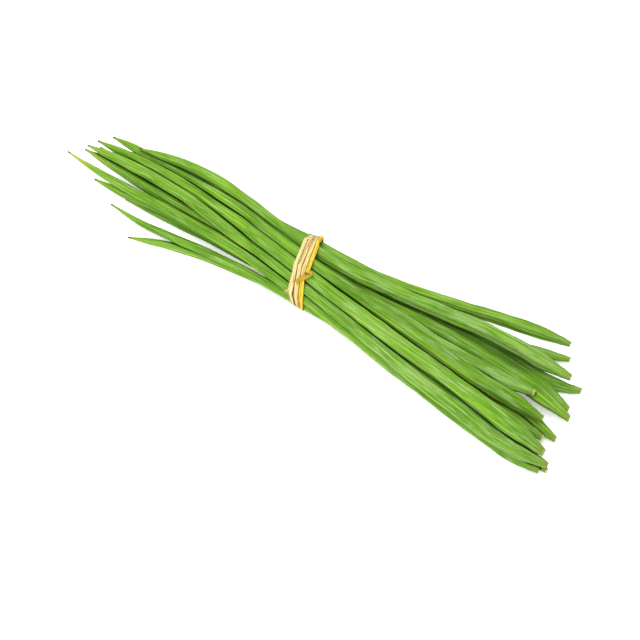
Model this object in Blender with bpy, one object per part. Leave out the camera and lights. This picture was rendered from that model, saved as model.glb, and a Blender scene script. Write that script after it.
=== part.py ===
"""A bunch of eighteen drumstick pods, the long ribbed pods of the moringa tree, bound with raffia.

The bunch lies on a flat surface along X: the cut stalk ends point to +X and the beaks to -X.
Lengths below are in millimetres, and they become metres where a mesh is made.
"""

import math

import bmesh
import bpy
import numpy as np
from mathutils import Vector

MM = 0.001

# A pod's section: nine ribs on a slightly three-sided round, with one corner on each rib and groove.
RIBS = 9
SIDES = 2 * RIBS
GROOVE_DEPTH = 0.08
THREE_SIDED = 0.025
POD_TURN = 2.4
# The pods that lie on the surface rest on a flank, where the middle is this share of the rib radius up.
FLANK_DOWN = math.pi / 2
FLANK_HEIGHT = 0.9
RESTING = ("pod_floor", "pod_near_side", "pod_near_low")

# Rib radius of a pod of thickness 1 along the bunch, and how it thins towards its beak's tip and its cut.
RADIUS_ALONG_X = (
    (-260, 4.3), (-180, 4.6), (-120, 4.8), (0, 5.0), (60, 5.7), (120, 6.3), (180, 6.7), (280, 6.7),
)
BEAK = ((0, 0.20), (4, 0.27), (12, 0.56), (26, 0.82), (48, 1.0))
STALK = ((0, 0.38), (6, 0.50), (13, 0.74), (22, 0.93), (34, 1.0))

# Planes across the bunch, in which the pods are pushed apart, and the places of the pods' rings.
PLANE_SPACE = 5.0
PLANES = np.arange(-260.0, 281.0, PLANE_SPACE)
RINGS = (-220, -190, -160, -130, -100, -72, -45, -18, 18, 45, 72, 100, 130, 160, 190, 220)
RING_SPACE = 12
BEAK_RINGS = (0, 5, 15, 36)
STALK_RINGS = (22, 8, 0)
CLEARANCE = 0.7
PRESSED = 0.35
SMOOTHINGS = 12

# The settling: in its last steps the pods are no longer pulled home, and then no longer smoothed.
SETTLE_STEPS = 900
PULLED_STEPS = 600
SMOOTHED_STEPS = 840
PUSH_APART = 0.3
HOME_PULL = 0.03
BOUND_MIDDLE = (4, 22)
BOUND_REACH = 40.0
BOUND_PULL = 0.05

# The photo shows a place (y, z) only by where it lies along this line across the view. A pod keeps
# that place wherever the photo shows it, and gives way in depth.
ACROSS_VIEW = np.array((0.852, 0.524))
SEEN_HOLD = 0.8

# Raffia: one flat strip, wound round the bunch and folded back across its own turns.
STRIP_WIDTH = 3.3
STRIP_THICKNESS = 0.7
STRIP_GAP = 0.5
STRIP_PITCH = 3.9
STRIP_HALF_TURNS = 1.5
STRIP_SLANT = -0.30
STRIP_SLANT_STEPS = 3
STRIP_MIDDLE_Y = 4.0
STRIP_STEP = 3
STRIP_REST = 12
STRIP_LIFT = 1.2

# How far the tie, wound beneath the bunch, holds the lowest pods off the surface.
TIE_LIFT = 1.35
TIE_LIFT_REACH = 40.0

SHARP_ANGLE = math.radians(50)

# Each pod's thickness, how long its beak is drawn out, and its middle line as (x, y, z) points from the
# beak's tip to the stalk's cut. The origin of these points is on the surface under the tie.
PODS = {
    "pod_far_side": (0.86, 1.1, (
        (-212, 33, 19), (-180, 34, 22), (-120, 34.5, 29), (-90, 33, 29), (-60, 28, 30), (-45, 27, 30),
        (-30, 27.5, 30), (0, 27, 30), (20, 25.5, 28), (40, 26, 25), (80, 31.5, 21), (120, 41, 17),
        (160, 50.5, 14), (200, 58, 13), (221, 60, 12))),
    "pod_far_top": (1.03, 1.2, (
        (-193, 34, 30), (-160, 36.5, 34), (-120, 35, 39), (-90, 31.5, 40), (-60, 23.5, 40),
        (-30, 17, 40), (0, 13, 39), (20, 12.5, 38), (40, 12, 36), (80, 15.5, 33), (105, 18, 31),
        (140, 25, 26), (175, 29, 22), (205, 28.5, 18), (237, 28, 15))),
    "pod_top_far": (1.0, 1.0, (
        (-226, 38, 23), (-200, 34.5, 27), (-160, 30.5, 32), (-120, 25, 36), (-80, 18.5, 39),
        (-40, 9, 40), (0, 0, 41), (60, -8, 38), (120, -14, 32), (180, -20, 26), (237, -22, 20))),
    "pod_top_near": (1.05, 1.3, (
        (-238, 30.5, 18), (-180, 23.5, 29), (-140, 20, 32), (-100, 12, 35), (-60, 3.5, 38),
        (-20, -5, 39), (0, -9.5, 39), (60, -20, 37), (120, -29, 31), (180, -36.5, 26), (253, -49, 19))),
    "pod_near_top": (1.0, 1.1, (
        (-243, 22, 17), (-200, 18.5, 24), (-160, 15.5, 28), (-120, 9, 31), (-80, 0, 32),
        (-40, -7.5, 33), (0, -16, 33), (60, -27, 27), (120, -39, 23), (180, -49, 19),
        (220, -54, 15), (259, -54, 12))),
    "pod_near_side": (0.95, 1.9, (
        (-251, 4.5, 22), (-236, 0, 22), (-215, 0, 21), (-180, -2, 20), (-120, -4, 20), (-80, -6.5, 21),
        (-40, -11, 21), (0, -20, 22), (30, -22.5, 18), (60, -26, 13), (120, -36, 8), (160, -44, 7),
        (200, -51.5, 7), (254, -58.5, 7))),
    "pod_near_low": (0.8, 1.8, (
        (-192, -15, 6), (-160, -19.5, 7), (-140, -20.5, 8), (-100, -18, 10), (-60, -17.5, 11),
        (-20, -19, 12), (0, -21.5, 12), (40, -20, 8.5), (80, -22, 7), (120, -26, 7), (180, -39, 7),
        (220, -47.5, 6), (260, -54.5, 6))),
    "pod_floor_near": (0.8, 1.0, (
        (-159, -37, 4), (-140, -29.5, 4), (-120, -23.5, 4), (-90, -19, 5), (-60, -16, 5), (0, -15, 6),
        (60, -9, 6), (120, -13, 7), (172, -17, 7))),
    "pod_floor_mid_near": (0.9, 1.4, (
        (-185, -3, 5), (-145, -1.5, 5), (-120, -0.5, 5), (-90, -0.5, 5), (-60, -2, 5), (0, -3, 6),
        (60, 2, 6), (120, -1, 7), (188, -2, 7))),
    "pod_floor_middle": (0.92, 1.2, (
        (-200, 8, 6), (-120, 6, 5), (-60, 5, 6), (0, 5, 6), (60, 11, 6), (120, 11, 7), (188, 10, 6))),
    "pod_floor_mid_far": (0.95, 1.1, (
        (-212, 17, 8), (-120, 15, 6), (-60, 14, 7), (0, 16, 8), (60, 21, 7), (120, 24, 6),
        (160, 26, 6), (200, 22, 6), (225, 20.5, 6), (236, 22, 6), (248, 28, 6))),
    "pod_floor_far": (0.8, 1.3, (
        (-188, 27, 8), (-120, 24, 8), (-60, 22, 12), (0, 25, 18), (60, 29, 12), (120, 33, 7),
        (150, 34.5, 6), (180, 36.5, 6), (203, 43, 6), (226, 51, 6))),
    "pod_inner_near": (0.97, 0.9, (
        (-244, 19, 14), (-220, 17, 16), (-200, 13.5, 18), (-180, 9, 20), (-140, 5, 21),
        (-100, 3, 22), (-60, -1, 22), (0, -14, 21), (60, -20, 17), (120, -30, 16),
        (180, -36.5, 10), (220, -42, 9), (247, -43.5, 8))),
    "pod_inner_near_top": (0.97, 0.9, (
        (-233, 27, 16), (-200, 19, 19), (-160, 14, 22), (-120, 9, 25), (-60, 3, 28), (0, -6, 30),
        (60, -13, 27), (120, -18, 20), (180, -26.5, 13), (220, -29, 10), (243, -31, 8))),
    "pod_inner_low": (0.95, 1.1, (
        (-220, -1, 8), (-180, -2, 10), (-140, 0, 12), (-100, -3, 13), (-60, -8, 14), (0, -5, 16),
        (60, -6, 14), (120, -10, 13), (180, -11.5, 9), (220, -17.5, 8), (252, -26, 7))),
    "pod_inner_middle": (0.97, 1.0, (
        (-170, 9, 12), (-120, 9, 14), (-60, 8, 16), (0, 7, 17), (60, 12, 17), (120, 13, 17),
        (180, 13.5, 17), (220, 10, 12), (248, 4, 8))),
    "pod_inner_far": (1.0, 1.2, (
        (-215, 24, 14), (-120, 20, 16), (-60, 16, 20), (0, 15, 27), (60, 3, 30), (100, 5.5, 27),
        (120, 5.5, 25), (180, 3.5, 20), (220, 1, 17), (254, -8, 15))),
    "pod_inner_top": (0.95, 1.0, (
        (-210, 22, 20), (-120, 17, 25), (-60, 13, 30), (0, 5, 30), (60, -2, 25), (120, -5, 25),
        (160, -8.5, 26), (195, -11.5, 27.5), (222, -8, 28))),
}
# The spans of x in which the photo shows a pod that it mostly hides. It shows the other pods whole.
SEEN = {
    "pod_far_side": ((-130, 230),),
    "pod_near_low": ((-200, 40), (235, 265)),
    "pod_floor_near": ((-170, -40),),
    "pod_floor_mid_near": ((-190, -40),),
    "pod_floor_middle": (),
    "pod_floor_mid_far": ((130, 250),),
    "pod_floor_far": ((110, 230),),
    "pod_inner_near": ((-250, -100), (110, 250)),
    "pod_inner_near_top": ((-240, -110), (170, 245)),
    "pod_inner_low": ((-225, -50), (190, 255)),
    "pod_inner_middle": ((170, 250),),
    "pod_inner_far": ((40, 255),),
    "pod_inner_top": ((135, 225),),
}
POD_GREEN = (0.17, 0.33, 0.05)
RAFFIA_STRAW = (0.72, 0.52, 0.22)


def rib_radius(name, x):
    """The radius of a pod over its ribs at x."""
    thickness, drawn_out, points = PODS[name]
    tip_x, cut_x = points[0][0], points[-1][0]
    along = np.interp(x, *zip(*RADIUS_ALONG_X))
    beak = np.interp((x - tip_x) / drawn_out, *zip(*BEAK))
    stalk = np.interp(cut_x - x, *zip(*STALK))
    return thickness * along * beak * stalk


def smoothed(lines, present):
    """Each pod's line with every point moved halfway to the middle of its two neighbours."""
    inside = present[:, 1:-1] & present[:, :-2] & present[:, 2:]
    middle = (lines[:, :-2] + 2 * lines[:, 1:-1] + lines[:, 2:]) / 4
    result = lines.copy()
    result[:, 1:-1] = np.where(inside[..., None], middle, lines[:, 1:-1])
    return result


def settled_lines():
    """The pods' middle lines as (y, z) in every plane, pushed apart until no two pods touch."""
    count = len(PODS)
    lines = np.zeros((count, len(PLANES), 2))
    radii = np.zeros((count, len(PLANES)))
    present = np.zeros((count, len(PLANES)), bool)
    seen = np.ones((count, len(PLANES)))
    for row, (name, (_, _, points)) in enumerate(PODS.items()):
        x, y, z = np.array(points, float).T
        lines[row] = np.stack([np.interp(PLANES, x, y), np.interp(PLANES, x, z)], 1)
        radii[row] = rib_radius(name, PLANES)
        present[row] = (PLANES > x[0] - PLANE_SPACE) & (PLANES < x[-1] + PLANE_SPACE)
        if name in SEEN:
            seen[row] = sum((PLANES > first) & (PLANES < last) for first, last in SEEN[name])
    for _ in range(SMOOTHINGS):
        lines = smoothed(lines, present)
    home = lines.copy()
    bound = BOUND_PULL * np.exp(-(PLANES / BOUND_REACH) ** 2)[:, None]
    resting = FLANK_HEIGHT * radii - PRESSED
    lowest = resting + (radii + TIE_LIFT - resting) * np.exp(-(PLANES / TIE_LIFT_REACH) ** 4)
    wanted = radii[:, None] + radii[None] + CLEARANCE
    both = present[:, None] & present[None] & ~np.eye(count, dtype=bool)[..., None]
    for step in range(SETTLE_STEPS):
        apart = lines[:, None] - lines[None]
        distance = np.maximum(np.linalg.norm(apart, axis=-1), 0.01)
        overlap = np.where(both, np.maximum(wanted - distance, 0), 0)
        lines = lines + PUSH_APART * (apart * (overlap / distance)[..., None]).sum(axis=1)
        if step < PULLED_STEPS:
            lines = lines + HOME_PULL * (home - lines) + bound * (BOUND_MIDDLE - lines)
        if step < SMOOTHED_STEPS:
            lines = smoothed(lines, present)
            strayed = (home - lines) @ ACROSS_VIEW
            lines = lines + (SEEN_HOLD * seen * strayed)[..., None] * ACROSS_VIEW
        lines[..., 1] = np.maximum(lines[..., 1], lowest)
    return dict(zip(PODS, lines))


def rings_of(name, line):
    """A pod's rings from beak to stalk as rows of x, y, z and rib radius, most at x that all pods share."""
    _, drawn_out, points = PODS[name]
    tip_x, cut_x = points[0][0], points[-1][0]
    beak = [tip_x + offset * drawn_out for offset in BEAK_RINGS]
    stalk = [cut_x - offset for offset in STALK_RINGS]
    shared = [x for x in RINGS if beak[-1] + RING_SPACE < x < stalk[0] - RING_SPACE]
    places = beak + shared + stalk
    return np.array([
        (x, np.interp(x, PLANES, line[:, 0]), np.interp(x, PLANES, line[:, 1]), rib_radius(name, x))
        for x in places
    ])


def new_object(name, mesh, collection, material):
    """A named object in the collection, from a bmesh whose coordinates are in metres."""
    data = bpy.data.meshes.new(name)
    mesh.to_mesh(data)
    mesh.free()
    data.materials.append(material)
    data.shade_smooth()
    data.set_sharp_from_angle(angle=SHARP_ANGLE)
    thing = bpy.data.objects.new(name, data)
    collection.objects.link(thing)
    return thing


def pod(name, turn, rings, collection, material):
    """A closed cylinder of ribbed rings, bent along the pod's settled line."""
    slopes = np.gradient(rings[:, 1:3], rings[:, 0], axis=0)
    mesh = bmesh.new()
    bmesh.ops.create_cone(mesh, cap_ends=True, segments=SIDES, radius1=1, radius2=1, depth=1)
    lengthwise = [edge for edge in mesh.edges if abs(edge.verts[0].co.z - edge.verts[1].co.z) > 0.5]
    bmesh.ops.subdivide_edges(mesh, edges=lengthwise, cuts=len(rings) - 2, use_grid_fill=True)
    for corner in mesh.verts:
        ring = round((corner.co.z + 0.5) * (len(rings) - 1))
        angle = math.atan2(corner.co.y, corner.co.x)
        groove = GROOVE_DEPTH * (1 - math.cos(RIBS * angle)) / 2
        flank = THREE_SIDED * (1 - math.cos(3 * angle))
        radius = rings[ring, 3] * (1 - groove - flank)
        offset = radius * np.array([math.cos(angle + turn), math.sin(angle + turn)])
        steepness = np.hypot(*slopes[ring])
        if steepness > 0:
            uphill = slopes[ring] / steepness
            offset = offset + uphill * (uphill @ offset) * (math.hypot(1, steepness) - 1)
        y, z = rings[ring, 1:3] + offset
        corner.co = Vector((rings[ring, 0], y, max(z, 0.0))) * MM
    mesh.normal_update()
    bmesh.ops.recalc_face_normals(mesh, faces=mesh.faces)
    return new_object(name, mesh, collection, material)


def strip_stations():
    """(angle round the bunch, place across the winding, height over it) along the raffia, in order.

    The angle is in degrees from the far side over the top, and the strip's winding ends on the
    near side, where it folds and lies back across the turns with its end standing clear of them.
    """
    turns = [
        (angle, STRIP_PITCH * ((angle - 90) / 360 - STRIP_HALF_TURNS), 0.0)
        for angle in range(-60, 1190, STRIP_STEP)
    ]
    fold = [
        (1193, 7.2, 0.2), (1198, 8.7, 0.5), (1203, 9.5, 0.9), (1209, 9.3, 1.1), (1216, 7.4, STRIP_LIFT),
        (1223, 4.0, STRIP_LIFT), (1230, 0.4, STRIP_LIFT), (1237, -3.4, STRIP_LIFT),
        (1244, -7.2, STRIP_LIFT), (1252, -11.0, 1.1),
    ]
    return turns + fold


def tie(rings_by_pod, collection, material):
    """The raffia strip, drawn tight round the pods that stand furthest out at each angle."""
    stations = strip_stations()
    stand_off = STRIP_GAP + STRIP_THICKNESS / 2
    path, outward, under = [], [], []
    for angle, across, height in stations:
        normal = np.array([math.cos(math.radians(angle)), math.sin(math.radians(angle))])
        reach = []
        for name, rings in rings_by_pod.items():
            x = across
            for _ in range(STRIP_SLANT_STEPS):
                middle = np.array([np.interp(x, rings[:, 0], rings[:, column]) for column in (1, 2)])
                x = across + STRIP_SLANT * (middle[0] - STRIP_MIDDLE_Y)
            radius = np.interp(x, rings[:, 0], rings[:, 3]) + stand_off + height
            reach.append((middle @ normal + radius, name, *(middle + radius * normal)))
        _, name, y, z = max(reach)
        path.append((across + STRIP_SLANT * (y - STRIP_MIDDLE_Y), y, z))
        outward.append((0.0, *normal))
        under.append(name)
    needed = [
        place
        for place, (angle, _, height) in enumerate(stations)
        if height > 0 or angle % STRIP_REST == 0 or under[place - 1] != under[place]
        or under[(place + 1) % len(under)] != under[place]
    ]
    path, outward = np.array(path)[needed], np.array(outward)[needed]
    along = np.gradient(path, axis=0)
    along /= np.linalg.norm(along, axis=1)[:, None]
    outward -= along * (outward * along).sum(axis=1)[:, None]
    outward /= np.linalg.norm(outward, axis=1)[:, None]
    sideways = np.cross(along, outward)
    mesh = bmesh.new()
    bmesh.ops.create_cube(mesh, size=1)
    lengthwise = [edge for edge in mesh.edges if abs(edge.verts[0].co.z - edge.verts[1].co.z) > 0.5]
    bmesh.ops.subdivide_edges(mesh, edges=lengthwise, cuts=len(path) - 2, use_grid_fill=True)
    for corner in mesh.verts:
        place = round((corner.co.z + 0.5) * (len(path) - 1))
        point = (
            path[place]
            + corner.co.x * STRIP_WIDTH * sideways[place]
            + corner.co.y * STRIP_THICKNESS * outward[place]
        )
        corner.co = Vector((point[0], point[1], max(point[2], 0.0))) * MM
    mesh.normal_update()
    bmesh.ops.recalc_face_normals(mesh, faces=mesh.faces)
    return new_object("tie", mesh, collection, material)


def finish(name, colour, roughness):
    """A plain matt material in one colour."""
    material = bpy.data.materials.new(name)
    material.use_nodes = True
    shader = material.node_tree.nodes["Principled BSDF"]
    shader.inputs["Base Color"].default_value = (*colour, 1)
    shader.inputs["Roughness"].default_value = roughness
    shader.inputs["Metallic"].default_value = 0
    return material


def centre_on_origin(things):
    """Moves every mesh so that the middle of the bunch's box is over the origin."""
    corners = np.array([vertex.co for thing in things for vertex in thing.data.vertices])
    middle = (corners.min(axis=0) + corners.max(axis=0)) / 2
    for thing in things:
        for vertex in thing.data.vertices:
            vertex.co.x -= middle[0]
            vertex.co.y -= middle[1]


for old in list(bpy.data.objects):
    bpy.data.objects.remove(old, do_unlink=True)
bunch = bpy.data.collections.new("drumstick_pod_bunch")
bpy.context.scene.collection.children.link(bunch)
pod_skin = finish("pod_skin", POD_GREEN, 0.5)
raffia = finish("raffia", RAFFIA_STRAW, 0.6)
pod_rings = {name: rings_of(name, line) for name, line in settled_lines().items()}
pieces = []
for number, (name, rings) in enumerate(pod_rings.items()):
    turn = FLANK_DOWN if name.startswith(RESTING) else POD_TURN * number
    pieces.append(pod(name, turn, rings, bunch, pod_skin))
pieces.append(tie(pod_rings, bunch, raffia))
centre_on_origin(pieces)
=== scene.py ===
import math

import bmesh
import bpy
import numpy as np
from mathutils import Matrix, Vector


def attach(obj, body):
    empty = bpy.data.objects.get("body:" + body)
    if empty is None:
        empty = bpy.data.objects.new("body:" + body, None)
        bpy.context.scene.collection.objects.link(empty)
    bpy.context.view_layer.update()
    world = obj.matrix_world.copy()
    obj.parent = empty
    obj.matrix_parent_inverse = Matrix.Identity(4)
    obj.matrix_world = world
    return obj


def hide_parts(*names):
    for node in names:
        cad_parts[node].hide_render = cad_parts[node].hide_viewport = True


# A bunch of drumstick pods bound with raffia, lying on a pale surface. The solids of the frame say where
# each pod and the tie lie. Lengths in this file are in millimetres until a mesh is made.
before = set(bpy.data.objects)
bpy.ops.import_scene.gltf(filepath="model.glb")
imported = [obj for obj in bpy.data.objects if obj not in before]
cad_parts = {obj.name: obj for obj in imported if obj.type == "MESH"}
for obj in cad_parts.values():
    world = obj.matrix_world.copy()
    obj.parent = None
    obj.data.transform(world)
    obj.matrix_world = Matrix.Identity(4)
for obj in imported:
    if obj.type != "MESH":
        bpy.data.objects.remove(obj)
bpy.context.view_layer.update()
MM = 0.001


# The pods. Each is one grown seed case of the moringa tree: nine ribs along a slightly three-sided tube, a
# thin dry beak where the flower was, and a woody stalk that was cut at picking. Each takes its bends and its
# thickness from the solid of its own name, and swells a little over its row of seeds.
RIBS = 9
POD_SIDES = 8 * RIBS
RING_SPACE = 2.0
# Shares of the rib radius: a solid's mean radius, the fine ribs' greater height, and their grooves.
SOLID_MEAN_SHARE = 0.935
FULLER = 1.018
GROOVE_DEPTH = 0.075
GROOVE_BREADTH = 0.62
THREE_SIDED = 0.03
# Angles in radians: how unevenly the ribs are spaced round the pod, and the range of their twist along it.
RIB_UNEVENNESS = (0.085, 0.05)
TWIST = 0.5
# Swells and dents are shares of the radius. Seeds swell a pod only where it is thick enough to hold them.
SEED_SPACE = 23.0
SEED_DRIFT = 2.5
SEED_DRIFT_LENGTHS = (90, 140)
SEED_SWELL = 0.022
SEED_CASE_RADIUS = (4.2, 6.2)
LUMPS = 0.02
LUMP_LENGTHS = (31, 52, 87)
DENTS = 0.012
DENT_LENGTHS = (9.5, 6.0)
# Small sideways and upward bends, which fade out along the stiff beak and near the tie.
SWAY = (0.35, 0.2)
SWAY_LENGTHS = (43.0, 71.0, 118.0)
STIFF_BEAK = 30
TIE_MIDDLE = (-4.5, 5.2)
TIE_KEEPS_STILL = 22.0
# The ends: each step in from the beak's point, and each into the cut, with its share of the radius.
TIP_PROFILE = ((0.0, 0.45), (0.35, 0.8))
TIP_LENGTH = 1.0
CUT_FACE = ((0.2, 0.86), (0.5, 0.52), (0.55, 0.14))
CUT_RIM = 0.3
CUT_TEAR = 0.8
STALK_JOINT = 7.5
STALK_JOINT_WIDTH = 1.7
STALK_JOINT_SWELL = 0.09
STALK_SMOOTH = (3.0, 13.0)
# What counts as level, as one ring of a solid, and as a sharp edge.
LEAST_SLOPE = 1e-6
SAME_RING = 0.1
SHARP = math.radians(50)
# The material's place on a pod: a straight tube of one radius, with the pods laid far apart end to end.
SKIN_RADIUS = 6.0
POD_APART = 700.0
ON_CUT = -1
# What sets single pods apart: fresh cuts, yellow beaks, a dull bloom towards the stalk, and a stretch of
# painted shade where a pod lies under those above (on pod_top_far a darker tone of its own). Then how near
# another pod must be for painted shade to darken the gap.
FRESH_CUTS = {"pod_inner_top": 1.0, "pod_near_low": 0.9, "pod_inner_near_top": 0.7, "pod_top_near": 0.4}
YELLOW_BEAKS = {"pod_near_side": 1.0, "pod_inner_near": 0.3}
DULL_PODS = {
    "pod_far_top": 1.0, "pod_near_top": 0.7, "pod_near_low": 0.7, "pod_top_near": 0.5, "pod_inner_top": 0.8,
}
DULL_FROM = (-30, 110)
LEAST_DULL = 0.3
SHADED_PODS = {
    "pod_inner_middle": 0.56, "pod_floor_mid_far": 0.5, "pod_inner_low": 0.5, "pod_inner_far": 0.34,
    "pod_top_far": 0.3,
}
SHADED_FROM = (0, 40)
LIT_FROM = (185, 235)
CREVICE_REACH = 2.5
CREVICE_FLOOR = 0.5


def closed_tube(name, sides, rings):
    """A closed cylinder as a new mesh, with the ring number and the angle of each of its corners."""
    tube = bmesh.new()
    bmesh.ops.create_cone(tube, cap_ends=True, segments=sides, radius1=1, radius2=1, depth=1)
    lengthwise = [edge for edge in tube.edges if abs(edge.verts[0].co.z - edge.verts[1].co.z) > 0.5]
    bmesh.ops.subdivide_edges(tube, edges=lengthwise, cuts=rings - 2, use_grid_fill=True)
    mesh = bpy.data.meshes.new(name)
    tube.to_mesh(mesh)
    tube.free()
    corners = np.array([vertex.co for vertex in mesh.vertices])
    ring = np.rint((corners[:, 2] + 0.5) * (rings - 1)).astype(int)
    return mesh, ring, np.arctan2(corners[:, 1], corners[:, 0])


def place_corners(mesh, corners):
    """Moves the corners of a mesh to their places, given in millimetres."""
    mesh.vertices.foreach_set("co", (corners * MM).ravel())
    mesh.update()


def note(mesh, name, vectors):
    """Keeps a vector for each corner of a mesh, given in millimetres, for its material to read."""
    attribute = mesh.attributes.new(name, "FLOAT_VECTOR", "POINT")
    attribute.data.foreach_set("vector", (np.stack(vectors, 1) * MM).ravel())


def new_piece(name, mesh, material, stands_for):
    """A piece of the object, which stands for one solid."""
    mesh.materials.append(material)
    mesh.shade_smooth()
    mesh.set_sharp_from_angle(angle=SHARP)
    piece = bpy.data.objects.new(name, mesh)
    bpy.context.scene.collection.objects.link(piece)
    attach(piece, "root")
    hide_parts(stands_for)


def smooth_curve(places, values, wanted):
    """Values at the wanted places, on a smooth curve through the given ones."""
    slopes = np.gradient(values, places, axis=0)
    left = np.clip(np.searchsorted(places, wanted, side="right") - 1, 0, len(places) - 2)
    width = (places[left + 1] - places[left])[:, None]
    share = (wanted - places[left])[:, None] / width
    rise = values[left + 1] - values[left]
    bend = (1 - share) * (slopes[left] * width - rise) - share * (slopes[left + 1] * width - rise)
    return values[left] + share * rise + share * (1 - share) * bend


def ripple(places, lengths, chance):
    """An uneven wave along the places, between -1 and 1, from waves of the given lengths."""
    waves = [np.sin(2 * np.pi * (places / length + chance.random())) for length in lengths]
    return sum(waves) / len(waves)


def step_up(values, low, high):
    """A smooth step from 0 at low to 1 at high."""
    share = np.clip((values - low) / (high - low), 0, 1)
    return share * share * (3 - 2 * share)


def solid_rings(node):
    """A solid pod's rings, as rows of x, y, z and rib radius, and how far round its first rib is."""
    corners = np.array([vertex.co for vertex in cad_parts[node].data.vertices]) / MM
    corners = np.unique(corners.round(3), axis=0)
    rings = []
    turns = 0
    for x in np.unique(corners[:, 0].round(1)):
        ring = corners[abs(corners[:, 0] - x) < SAME_RING]
        middle = ring.mean(axis=0)
        out = ring[:, 1:] - middle[1:]
        distance = np.hypot(*out.T)
        rings.append((*middle, distance.mean() / SOLID_MEAN_SHARE))
        turns += (distance * np.exp(3j * np.arctan2(out[:, 1], out[:, 0]))).sum()
    return np.array(rings), np.angle(turns) / 3


pod_names = [name for name in sorted(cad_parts) if name != "tie"]
solid_pods = {name: solid_rings(name) for name in pod_names}


def crevice_painted_shade(name, corners):
    """Painted shade for each corner, by how deep it lies in the gaps among the pods, from 0 in the open to 1
    against another pod.
    """
    gap = np.full(len(corners), CREVICE_REACH)
    for other, (rings, _) in solid_pods.items():
        beside = (corners[:, 0] > rings[0, 0]) & (corners[:, 0] < rings[-1, 0]) & (other != name)
        y, z, radius = (np.interp(corners[:, 0], rings[:, 0], rings[:, column]) for column in (1, 2, 3))
        distance = np.hypot(corners[:, 1] - y, corners[:, 2] - z) - radius
        gap = np.where(beside, np.minimum(gap, distance), gap)
    return step_up(gap, CREVICE_REACH, CREVICE_FLOOR)


def swelling(run, left, radius, free, chance):
    """How much a pod swells over its seeds, its lumps and its stalk's joint, as a share of its radius."""
    drift = SEED_DRIFT * ripple(run, SEED_DRIFT_LENGTHS, chance)
    seeds = np.sin(2 * np.pi * run / SEED_SPACE + drift)
    swell = SEED_SWELL * seeds * step_up(radius, *SEED_CASE_RADIUS)
    swell += LUMPS * free * ripple(run, LUMP_LENGTHS, chance)
    swell += STALK_JOINT_SWELL * np.exp(-((left - STALK_JOINT) / STALK_JOINT_WIDTH) ** 2)
    return swell


def ribbed_section(angle, run, left, free, chance):
    """How far out each corner lies as a share of the radius, and its angle as counted by the uneven ribs."""
    first, second, third, fourth = 2 * np.pi * chance.random(4)
    ribbed = step_up(left, *STALK_SMOOTH)
    once, twice = np.sin(angle + first), np.sin(2 * angle + second)
    rib_angle = angle + RIB_UNEVENNESS[0] * once + RIB_UNEVENNESS[1] * twice
    groove = ((1 - np.cos(RIBS * rib_angle)) / 2) ** GROOVE_BREADTH * ribbed
    flank = THREE_SIDED * (1 - np.cos(3 * rib_angle)) * ribbed
    long_dent = np.sin(2 * angle + run / DENT_LENGTHS[0] + third)
    short_dent = np.sin(3 * angle - run / DENT_LENGTHS[1] + fourth)
    return 1 - GROOVE_DEPTH * groove - flank + DENTS * (long_dent + short_dent) * free, rib_angle


def note_looks(mesh, name, x, ring):
    """Keeps how fresh a pod's cut is, how yellow its beak and how dull its skin, for its material."""
    fresh, yellow, dull = (table.get(name, 0.0) for table in (FRESH_CUTS, YELLOW_BEAKS, DULL_PODS))
    dull = (LEAST_DULL + dull) * step_up(x, *DULL_FROM)[ring]
    note(mesh, "looks", (np.full(len(ring), fresh), np.full(len(ring), yellow), dull))


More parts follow.
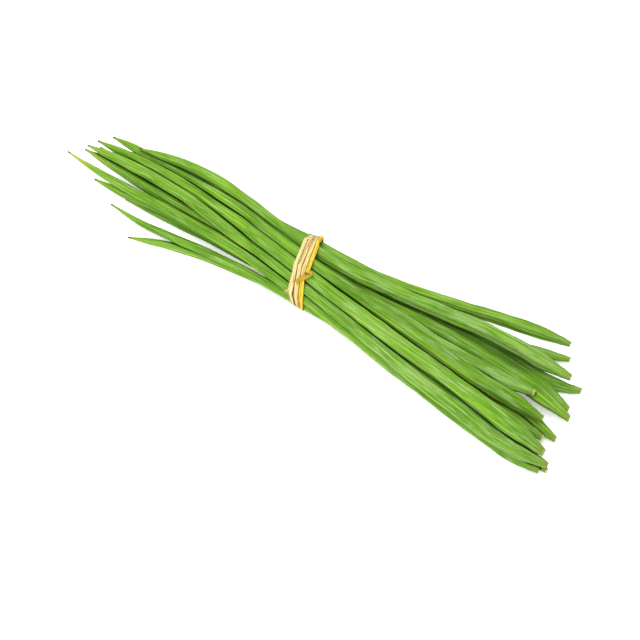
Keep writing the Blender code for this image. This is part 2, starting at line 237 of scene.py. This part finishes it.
def pod(name, number, material):
    """A finely ribbed pod in the place of one solid. Gives back its rings as x, y, z and rib radius."""
    chance = np.random.default_rng(number + 1)
    rings, turn = solid_pods[name]
    tip, cut = rings[0, 0], rings[-1, 0]
    tip_steps, tip_shares = np.array(TIP_PROFILE).T
    face_depths, face_shares = np.array(CUT_FACE).T
    body = np.linspace(tip + TIP_LENGTH, cut, round((cut - tip) / RING_SPACE))
    x = np.concatenate([tip + tip_steps, body, cut - face_depths])
    share = np.concatenate([tip_shares, np.ones(len(body)), face_shares])
    on_face = np.arange(len(x)) >= len(x) - len(face_depths)
    y, z, radius = smooth_curve(rings[:, 0], rings[:, 1:], x).T
    ahead, behind = (smooth_curve(rings[:, 0], rings[:, 1:3], x + step) for step in (1, -1))
    slope_y, slope_z = (ahead - behind).T / 2
    run = x - tip
    left = cut - x
    free = step_up(run, 0, STIFF_BEAK) * (1 - np.exp(-((x - TIE_MIDDLE[0]) / TIE_KEEPS_STILL) ** 2))
    y = y + SWAY[0] * free * ripple(run, SWAY_LENGTHS, chance)
    z = z + SWAY[1] * free * ripple(run, SWAY_LENGTHS, chance)
    radius = radius * FULLER * (1 + swelling(run, left, radius, free, chance))

    mesh, ring, angle = closed_tube(name + "_skin", POD_SIDES, len(x))
    section, rib_angle = ribbed_section(angle, run[ring], left[ring], free[ring], chance)
    out = (radius * share)[ring] * section
    turned = angle + turn + TWIST * (chance.random() - 0.5) * (run / run.max())[ring]
    out_y, out_z = out * np.cos(turned), out * np.sin(turned)
    steep = np.maximum(np.hypot(slope_y, slope_z), LEAST_SLOPE)
    up_y, up_z = (slope_y / steep)[ring], (slope_z / steep)[ring]
    stretch = (up_y * out_y + up_z * out_z) * (np.hypot(1, steep) - 1)[ring]
    torn = CUT_TEAR * chance.random(POD_SIDES)[np.rint(angle / (2 * np.pi) * POD_SIDES).astype(int)]
    corners = np.stack([
        x[ring] - np.where(left[ring] < CUT_RIM, torn, 0),
        y[ring] + out_y + up_y * stretch,
        np.maximum(z[ring] + out_z + up_z * stretch, 0),
    ], 1)
    place_corners(mesh, corners)

    along = run[ring] + POD_APART * number
    note(mesh, "skin", (SKIN_RADIUS * np.cos(rib_angle), SKIN_RADIUS * np.sin(rib_angle), along))
    # Painted shade in the gaps against other pods and on pods lying under others; on pod_top_far a darker
    # tone.
    shaded = SHADED_PODS.get(name, 0) * (step_up(x, *SHADED_FROM) - step_up(x, *LIT_FROM))
    gap = np.maximum(crevice_painted_shade(name, corners), shaded[ring])
    note(mesh, "ends", (run[ring], np.where(on_face[ring], ON_CUT, left[ring]), gap))
    note_looks(mesh, name, x, ring)
    new_piece(name + "_skin", mesh, material, name)
    return np.stack([x, y, z, radius], 1)[share == 1]


# The pods' skin: fresh green with a pale line on each rib, dark lines between, and a dull bloom in patches.
# The beak dries brown, the stalk is olive and its cut is cream. Colours are given as light that the skin
# gives back.
SKIN_GREEN = (0.137, 0.292, 0.021, 1)
SKIN_DEEP = (0.087, 0.212, 0.012, 1)
SKIN_BRIGHT = (0.192, 0.365, 0.019, 1)
SKIN_BLOOM = (0.230, 0.367, 0.105, 1)
RIB_PALE = (0.260, 0.410, 0.065, 1)
GROOVE_DARK = (0.040, 0.120, 0.003, 1)
# The next colour is painted shade, for the gaps among the pods and the pods that lie under others.
GAP_PAINTED_SHADE = (0.008, 0.042, 0.001, 1)
BEAK_BROWN = (0.110, 0.085, 0.045, 1)
BEAK_YELLOW = (0.330, 0.350, 0.045, 1)
STALK_OLIVE = (0.190, 0.240, 0.040, 1)
CUT_CREAM = (0.700, 0.620, 0.260, 1)
CUT_GREEN = (0.230, 0.330, 0.060, 1)
SCAR_BROWN = (0.200, 0.110, 0.045, 1)
SKIN_RELIEF = 0.22
FAINT_SHINE = 0.04
# How far from the beak's point or from the cut a colour starts, and where it is full.
YELLOW_REACH = (46, 12)
BROWN_REACH = (7, 3.5)
OLIVE_REACH = (12, 5)
CUT_EDGE = (2.8, 1.4)


class Shade:
    """A number, colour or vector in a material. Sums and products of numbers add their Math nodes."""

    def __init__(self, material, socket=None):
        self.material = material
        self.socket = socket

    def node(self, kind, settings, values, output=0):
        """An output of a new node, whose settings come first and whose sockets are then set or linked."""
        made = self.material.node_tree.nodes.new(kind)
        for name, setting in settings.items():
            setattr(made, name, setting)
        for place, value in values.items():
            if isinstance(value, Shade):
                self.material.node_tree.links.new(value.socket, made.inputs[place])
            else:
                made.inputs[place].default_value = value
        return Shade(self.material, made.outputs[output])

    def maths(self, operation, *values):
        """The result of a Math node."""
        return self.node("ShaderNodeMath", {"operation": operation}, dict(enumerate(values)))

    def __add__(self, other):
        return self.maths("ADD", self, other)

    __radd__ = __add__

    def __sub__(self, other):
        return self.maths("SUBTRACT", self, other)

    def __rsub__(self, other):
        return self.maths("SUBTRACT", other, self)

    def __mul__(self, other):
        return self.maths("MULTIPLY", self, other)

    __rmul__ = __mul__

    def __truediv__(self, other):
        return self.maths("DIVIDE", self, other)

    def __pow__(self, other):
        return self.maths("POWER", self, other)

    def wave(self):
        """The cosine of this angle, as a number from 0 to 1."""
        return self.maths("COSINE", self) * 0.5 + 0.5

    def within(self, low, high):
        """A smooth step from 0 at low to 1 at high, or down where low is above high."""
        settings = {"interpolation_type": "SMOOTHSTEP"}
        return self.node("ShaderNodeMapRange", settings, {"Value": self, "From Min": low, "From Max": high})

    def mix(self, low, high):
        """The colour between low, where this is 0, and high, where it is 1."""
        return self.node("ShaderNodeMix", {"data_type": "RGBA"}, {0: self, 6: low, 7: high}, 2)

    def kept(self, name):
        """The vector that the mesh keeps for each corner under this name."""
        return self.node("ShaderNodeAttribute", {"attribute_name": name}, {}, "Vector")

    def part(self, axis):
        """One number of this vector, in millimetres."""
        return self.node("ShaderNodeSeparateXYZ", {}, {0: self}, axis) / MM

    def grain(self, size, lengthwise, detail=2.0, roughness=0.5):
        """Noise with spots of about the given size in millimetres, longer where lengthwise is below 1."""
        settings = {"operation": "MULTIPLY"}
        stretched = self.node("ShaderNodeVectorMath", settings, {0: self, 1: (1, 1, lengthwise)})
        values = {"Vector": stretched, "Scale": 1 / (size * MM), "Detail": detail, "Roughness": roughness}
        return self.node("ShaderNodeTexNoise", {}, values)


def new_finish(name):
    """A new material, as the start of its expressions."""
    material = bpy.data.materials.new(name)
    material.use_nodes = True
    return Shade(material)


def give(finish, colour, roughness, height, depth):
    """Gives a material its colour, its roughness and a relief of the given depth in millimetres."""
    bump = finish.node("ShaderNodeBump", {}, {"Height": height, "Distance": depth * MM})
    principled = finish.material.node_tree.nodes["Principled BSDF"]
    principled.inputs["Specular IOR Level"].default_value = FAINT_SHINE
    for name, value in (("Base Color", colour), ("Roughness", roughness), ("Normal", bump)):
        finish.material.node_tree.links.new(value.socket, principled.inputs[name])
    return finish.material


def pod_skin():
    """The pods' material, which follows each pod by the vectors kept on its mesh."""
    skin = new_finish("pod_skin")
    place, ends, looks = (skin.kept(name) for name in ("skin", "ends", "looks"))
    from_tip, from_cut, gap = (ends.part(axis) for axis in "XYZ")
    fresh_cut, yellow_beak, dull = (looks.part(axis) for axis in "XYZ")
    angle = skin.maths("ARCTAN2", place.part("Y"), place.part("X"))
    crest = (angle * RIBS).wave()
    corner = (angle * 3).wave()
    hair = place.grain(0.85, 0.03, 2, 0.6)
    streak = place.grain(1.5, 0.05)
    patch = place.grain(9, 0.25)
    panel = place.grain(4.2, 0.06)
    bloom = place.grain(3.5, 0.15, 4, 0.65) + dull * 0.08
    dots = place.grain(0.6, 0.5, 1)
    scar = place.grain(3.2, 0.3, 3)
    # Broad patches, then the grooves and the ribs, then hair lines, dots and a few scars.
    colour = patch.within(0.35, 0.62).mix(SKIN_DEEP, SKIN_GREEN)
    colour = (panel.within(0.48, 0.64) * 0.75).mix(colour, SKIN_BRIGHT)
    colour = (bloom.within(0.5, 0.7) * 0.85).mix(colour, SKIN_BLOOM)
    colour = ((1 - crest) ** 4 * streak.within(0.35, 0.6) * 0.5).mix(colour, GROOVE_DARK)
    colour = (crest ** 12 * (corner * 0.5 + 0.4) * panel.within(0.42, 0.58) * 0.8).mix(colour, RIB_PALE)
    colour = (hair.within(0.5, 0.62) * 0.5).mix(colour, GROOVE_DARK)
    colour = (hair.within(0.47, 0.34) * 0.45).mix(colour, SKIN_BLOOM)
    colour = (dots.within(0.66, 0.74) * 0.4).mix(colour, RIB_PALE)
    colour = (scar.within(0.7, 0.74) * 0.5).mix(colour, SCAR_BROWN)
    # The beak, the stalk, painted shade in the gaps among the pods, and last the cut.
    beak = (from_tip + streak * 16).within(*YELLOW_REACH)
    colour = (beak * (yellow_beak * 0.8 + 0.12)).mix(colour, BEAK_YELLOW)
    colour = (from_tip + streak * 4).within(*BROWN_REACH).mix(colour, BEAK_BROWN)
    colour = ((from_cut + streak * 6).within(*OLIVE_REACH) * 0.5).mix(colour, STALK_OLIVE)
    # Painted shade darkens the skin where the pods lie close together or under others.
    colour = (gap.within(0.15, 0.8) * 0.94).mix(colour, GAP_PAINTED_SHADE)
    flesh = fresh_cut.mix(CUT_GREEN, CUT_CREAM)
    colour = ((from_cut + hair * 3).within(*CUT_EDGE) * 0.8).mix(colour, flesh)
    colour = from_cut.within(-0.1, -0.5).mix(colour, flesh)
    roughness = bloom.within(0.42, 0.6) * 0.14 + hair * 0.12 + 0.42
    return give(skin, colour, roughness, hair * 0.5 + streak * 0.5, SKIN_RELIEF)


skin = pod_skin()
pod_rings = {name: pod(name, number, skin) for number, name in enumerate(pod_names)}


# The tie: one strip of raffia, the dried skin of a palm leaf, wound a little over three times round the
# bunch and folded back over its own turns, with its end standing clear. It splits along its fibres into
# narrow ribbons that lie side by side, over the pods that stand furthest out.
STRIP_PITCH = 3.9
STRIP_HALF_TURNS = 1.5
STRIP_SLANT = -0.30
SLANT_STEPS = 3
STRIP_HEIGHT = 0.85
# Angles round the bunch are in degrees: 0 is the far side, 90 the top and 180 the near side.
STRIP_START, STRIP_FOLD = -60, 1180
FOLDED_BACK = STRIP_FOLD + 10
# The windings gather at the far edge, where each lies a little higher than the last.
FAR_EDGE = 32
FAR_BREADTH = 26
FAR_GATHER = 0.38
FAR_MIDDLE = 3.4
FAR_RISE = ((32, 0.0), (392, 0.5), (752, 1.4), (1112, 2.8))
# They spread and broaden halfway up the near side.
NEAR_HEIGHT = 27
NEAR_BREADTH = 15
NEAR_SPREAD = ((154, -3.0), (514, -1.2), (874, 0.2))
NEAR_WIDER = 0.3
# The strip's end in millimetres: how far down the near side, how far across the windings, how far out.
END = (
    (1.1, 6.0, 0.1), (1.0, 8.0, 0.5), (1.2, 9.7, 1.0), (2.1, 10.6, 1.4), (3.4, 9.9, 1.5), (5.0, 8.0, 1.4),
    (7.1, 5.6, 1.3), (9.6, 3.2, 1.3), (12.4, 0.8, 1.3), (15.4, -1.5, 0.9), (18.6, -3.7, 0.2),
    (22.0, -5.9, 0.0), (25.8, -8.2, 0.0), (29.4, -10.3, 0.3), (32.6, -12.2, 1.0), (35.2, -13.8, 1.6),
)
END_ANGLES = range(90, 200, 2)
# The first turn rises where the end is tucked beneath it. The strip narrows where it bends back, and splays
# at its very end.
END_TUCK = 12
TUCK_RISE = 1.4
TUCK_REACH = 5.0
BEND = 3
BEND_START = STRIP_FOLD - 20
BEND_GATHER = 0.45
BEND_REACH = 3.2
END_SPLAY = 0.5
END_LENGTH = 6.0
# The ribbons: how far each lies from the strip's middle, and how wide it is.
RIBBONS = ((-1.25, 1.2), (0.0, 1.15), (1.25, 1.15))
RIBBON_CHANCE = 100
STRIP_HALF_WIDTH = 1.85
RIBBON_STEP = 0.5
RIBBON_SIDES = 14
RIBBON_THICKNESS = 0.5
RIBBON_SQUARENESS = 0.8
RIBBON_TIP = 0.3
RIBBON_WANDER = 0.2
WANDER_LENGTHS = (17, 41, 73)
RIBBON_UNEVENNESS = 0.16
UNEVENNESS_LENGTHS = (23, 37, 59)
RIBBON_RISE = 0.22
RISE_LENGTHS = (19, 33, 61)
RIBBON_CROWN = 0.12
CROWN_WAVES = 1.5
CROWN_DRIFT = 11


def on_bunch(angle, across, lift):
    """A place on the pods that stand furthest out in one direction: x, y, z and the outward side."""
    normal = np.array([math.cos(math.radians(angle)), math.sin(math.radians(angle))])
    reach = []
    for rings in pod_rings.values():
        x = TIE_MIDDLE[0] + across
        for _ in range(SLANT_STEPS):
            middle = np.array([np.interp(x, rings[:, 0], rings[:, column]) for column in (1, 2)])
            x = TIE_MIDDLE[0] + across + STRIP_SLANT * (middle[0] - TIE_MIDDLE[1])
        radius = np.interp(x, rings[:, 0], rings[:, 3]) + STRIP_HEIGHT + lift
        reach.append((middle @ normal + radius, *(middle + radius * normal)))
    _, y, z = max(reach)
    return TIE_MIDDLE[0] + across + STRIP_SLANT * (y - TIE_MIDDLE[1]), y, z, 0.0, *normal


def on_near_side(rows):
    """How far each row lies in the middle of the bunch's near side, from 0 to 1."""
    return (rows[:, 4] < 0) * np.exp(-((rows[:, 2] - NEAR_HEIGHT) / NEAR_BREADTH) ** 2)


def windings():
    """The strip's turns round the bunch, as rows of x, y, z, outward side and angle in degrees."""
    angles = np.arange(STRIP_START, STRIP_FOLD, 1.0)
    across = STRIP_PITCH * ((angles - 90) / 360 - STRIP_HALF_TURNS)
    off_edge = (angles - FAR_EDGE + 180) % 360 - 180
    far = np.exp(-(off_edge / FAR_BREADTH) ** 2)
    across = across + FAR_GATHER * far * (FAR_MIDDLE - across)
    lift = far * np.interp(angles, *zip(*FAR_RISE))
    rows = np.array([(*on_bunch(*row), row[0]) for row in zip(angles, across, lift)])
    rows[:, 0] += on_near_side(rows) * np.interp(angles, *zip(*NEAR_SPREAD))
    return rows


def run_along(places):
    """How far along a line of places each of them lies."""
    return np.concatenate([[0], np.linalg.norm(np.diff(places, axis=0), axis=1).cumsum()])


def strip_end():
    """The strip's end, which turns back over the windings, as rows like theirs, and its bends."""
    bends = []
    for down, across, lift in END:
        side = np.array([on_bunch(angle, across, lift) for angle in END_ANGLES])
        bends.append([np.interp(down, run_along(side[:, :3]), column) for column in side.T])
    bends = np.array(bends)
    run = run_along(bends[:, :3])
    fine = smooth_curve(run, bends, np.arange(RIBBON_STEP, run[-1], RIBBON_STEP))
    return np.column_stack([fine, np.full(len(fine), FOLDED_BACK)]), bends


def unit(vectors):
    """The vectors at length 1."""
    return vectors / np.linalg.norm(vectors, axis=1)[:, None]


def strip_path():
    """The strip's run, middle line, outward and sideways directions, angle round the bunch, and spread."""
    turns = windings()
    end, bends = strip_end()
    beneath = np.linalg.norm(turns[:, :3] - bends[END_TUCK, :3], axis=1)
    first = turns[:, 6] < STRIP_START + 360
    turns[:, :3] += (TUCK_RISE * first * np.exp(-(beneath / TUCK_REACH) ** 2))[:, None] * turns[:, 3:6]
    rows = np.concatenate([turns, end])
    places = run_along(rows[:, :3])
    run = np.arange(0, places[-1], RIBBON_STEP)
    left = places[-1] - run
    rows = np.stack([np.interp(run, places, column) for column in rows.T], 1)
    path, outward, turned = rows[:, :3], rows[:, 3:6], rows[:, 6]
    from_bend = np.linalg.norm(path - bends[BEND, :3], axis=1)
    at_bend = np.exp(-(from_bend / BEND_REACH) ** 2) * (turned > BEND_START)
    spread = 1 - BEND_GATHER * at_bend + NEAR_WIDER * on_near_side(rows) * (turned < STRIP_FOLD)
    spread = spread + END_SPLAY * step_up(left, END_LENGTH, 0)
    along = unit(np.gradient(path, axis=0))
    outward = unit(outward - along * (outward * along).sum(axis=1)[:, None])
    return run, path, outward, np.cross(outward, along), turned, spread


def ribbon(number, strip):
    """One ribbon of the strip, as the mesh of a closed tube that keeps its vectors."""
    run, path, outward, sideways, turned, spread = strip
    chance = np.random.default_rng(RIBBON_CHANCE + number)
    offset, width = RIBBONS[number]
    left = run[-1] - run
    tapered = RIBBON_TIP + (1 - RIBBON_TIP) * step_up(left, 0, END_LENGTH)
    offset = spread * (offset + RIBBON_WANDER * ripple(run, WANDER_LENGTHS, chance))
    width = spread * tapered * width * (1 + RIBBON_UNEVENNESS * ripple(run, UNEVENNESS_LENGTHS, chance))
    rise = RIBBON_RISE * ripple(run, RISE_LENGTHS, chance)
    mesh, ring, angle = closed_tube("ribbon", RIBBON_SIDES, len(run))
    flat = np.sign(np.cos(angle)) * abs(np.cos(angle)) ** RIBBON_SQUARENESS
    crown = RIBBON_CROWN * np.cos(flat * np.pi * CROWN_WAVES + run[ring] / CROWN_DRIFT)
    side = offset[ring] + flat * width[ring] / 2
    up = rise[ring] + crown + np.sin(angle) * RIBBON_THICKNESS / 2
    corners = path[ring] + side[:, None] * sideways[ring] + up[:, None] * outward[ring]
    corners[:, 2] = np.maximum(corners[:, 2], 0)
    place_corners(mesh, corners)
    side = side / spread[ring]
    note(mesh, "fibre", (side, up, run[ring]))
    note(mesh, "winding", (turned[ring], abs(side) / STRIP_HALF_WIDTH, left[ring]))
    return mesh


# The raffia's finish: straw with brown lines where it has split, and a faint shine. Its colour changes along
# the strip: cream, then peach, then gold, and olive where it is folded back, up to its cream end.
RAFFIA_CREAM = (0.68, 0.61, 0.28, 1)
RAFFIA_PEACH = (0.74, 0.53, 0.23, 1)
RAFFIA_GOLD = (0.74, 0.56, 0.05, 1)
RAFFIA_OLIVE = (0.46, 0.30, 0.02, 1)
RAFFIA_BROWN = (0.20, 0.10, 0.015, 1)
RAFFIA_RELIEF = 0.25
# Where each colour starts and is full, in degrees round the bunch, and for the end in millimetres.
PEACH_FROM = (255, 285)
GOLD_FROM = (852, 872)
OLIVE_FROM = (STRIP_FOLD, STRIP_FOLD + 8)
CREAM_END = (9, 5)


def raffia():
    """The tie's material, which follows the strip by the vectors kept on its mesh."""
    straw = new_finish("raffia")
    fibre, winding = (straw.kept(name) for name in ("fibre", "winding"))
    degrees, beside, to_end = (winding.part(axis) for axis in "XYZ")
    fine = fibre.grain(0.3, 0.02, 3, 0.6)
    split = fibre.grain(1.3, 0.02)
    tone = fibre.grain(2.4, 0.06)
    spot = fibre.grain(2.0, 0.5)
    # The colours of the windings in turn, then the brown splits, edges, fibres and spots.
    colour = degrees.within(*PEACH_FROM).mix(RAFFIA_CREAM, RAFFIA_PEACH)
    colour = (tone.within(0.42, 0.62) * 0.6).mix(colour, RAFFIA_CREAM)
    colour = degrees.within(*GOLD_FROM).mix(colour, RAFFIA_GOLD)
    colour = (degrees.within(*OLIVE_FROM) * 0.85).mix(colour, RAFFIA_OLIVE)
    colour = to_end.within(*CREAM_END).mix(colour, RAFFIA_CREAM)
    colour = (split.within(0.54, 0.6) * 0.8).mix(colour, RAFFIA_BROWN)
    colour = (beside.within(0.6, 0.88) * 0.85).mix(colour, RAFFIA_BROWN)
    colour = (fine.within(0.54, 0.68) * 0.4).mix(colour, RAFFIA_BROWN)
    colour = (spot.within(0.66, 0.72) * 0.7).mix(colour, RAFFIA_BROWN)
    return give(straw, colour, fine * 0.25 + 0.42, fine * 0.5 + split * 0.5, RAFFIA_RELIEF)


strip = strip_path()
whole = bmesh.new()
for number in range(len(RIBBONS)):
    ribbon_mesh = ribbon(number, strip)
    whole.from_mesh(ribbon_mesh)
    bpy.data.meshes.remove(ribbon_mesh)
tie_mesh = bpy.data.meshes.new("tie_raffia")
whole.to_mesh(tie_mesh)
whole.free()
new_piece("tie_raffia", tie_mesh, raffia(), "tie")


# The surface that the bunch lies on: a wide plain sheet with a matt white finish. It glows a little, so that
# the shadows on it stay as faint as in the photograph. Its size is in metres.
FLOOR_SIZE = 4
FLOOR_WHITE = (0.94, 0.94, 0.94, 1)
FLOOR_ROUGHNESS = 0.9
FLOOR_GLOW = 0.3
WHITE = (1, 1, 1, 1)
floor_sheet = bmesh.new()
bmesh.ops.create_grid(floor_sheet, x_segments=1, y_segments=1, size=FLOOR_SIZE)
floor_mesh = bpy.data.meshes.new("floor")
floor_sheet.to_mesh(floor_mesh)
floor_sheet.free()
floor = bpy.data.objects.new("floor", floor_mesh)
bpy.context.scene.collection.objects.link(floor)
floor_finish = bpy.data.materials.new("floor")
floor_finish.use_nodes = True
floor_shader = floor_finish.node_tree.nodes["Principled BSDF"]
floor_shader.inputs["Base Color"].default_value = FLOOR_WHITE
floor_shader.inputs["Roughness"].default_value = FLOOR_ROUGHNESS
floor_shader.inputs["Emission Color"].default_value = WHITE
floor_shader.inputs["Emission Strength"].default_value = FLOOR_GLOW
floor_mesh.materials.append(floor_finish)


# Soft studio light: a bright room, one wide lamp high on the viewer's side, a faint low one to its left that
# fills the pods' flanks, and a weaker one behind the bunch. Places and sizes are in metres, powers in watts.
ROOM_STRENGTH = 0.55


def lamp(name, place, size, power):
    """A square lamp that faces the bunch."""
    light = bpy.data.lights.new(name, "AREA")
    light.size = size
    light.energy = power
    thing = bpy.data.objects.new(name, light)
    thing.location = place
    thing.rotation_euler = (-Vector(place)).to_track_quat("-Z", "Y").to_euler()
    bpy.context.scene.collection.objects.link(thing)


lamp("lamp_near", (0.0, -0.58, 1.55), 1.1, 28)
lamp("lamp_low", (-0.55, -1.15, 0.5), 1.0, 6)
lamp("lamp_far", (-0.6, 0.9, 1.2), 0.8, 13)
world = bpy.data.worlds.new("room")
world.use_nodes = True
room = world.node_tree.nodes["Background"]
room.inputs["Color"].default_value = WHITE
room.inputs["Strength"].default_value = ROOM_STRENGTH
bpy.context.scene.world = world
bpy.context.scene.view_settings.view_transform = "Standard"


# The camera looks down on the bunch from its near side and the stalks' end, as the photograph does.
# Its lens is long, so the pods hardly narrow with distance.
CAMERA_PLACE = (490.5, -767.2, 1213.1)
CAMERA_AZIMUTH = math.radians(32)
CAMERA_ELEVATION = math.radians(54)
SENSOR_WIDTH = 36
LENS_LENGTH = 100.446
camera = bpy.data.cameras.new("camera")
camera.sensor_width = SENSOR_WIDTH
camera.lens = LENS_LENGTH
viewer = bpy.data.objects.new("camera", camera)
viewer.location = Vector(CAMERA_PLACE) * MM
tilt = Matrix.Rotation(math.pi / 2 - CAMERA_ELEVATION, 4, "X")
viewer.rotation_euler = (Matrix.Rotation(CAMERA_AZIMUTH, 4, "Z") @ tilt).to_euler()
bpy.context.scene.collection.objects.link(viewer)
bpy.context.scene.camera = viewer
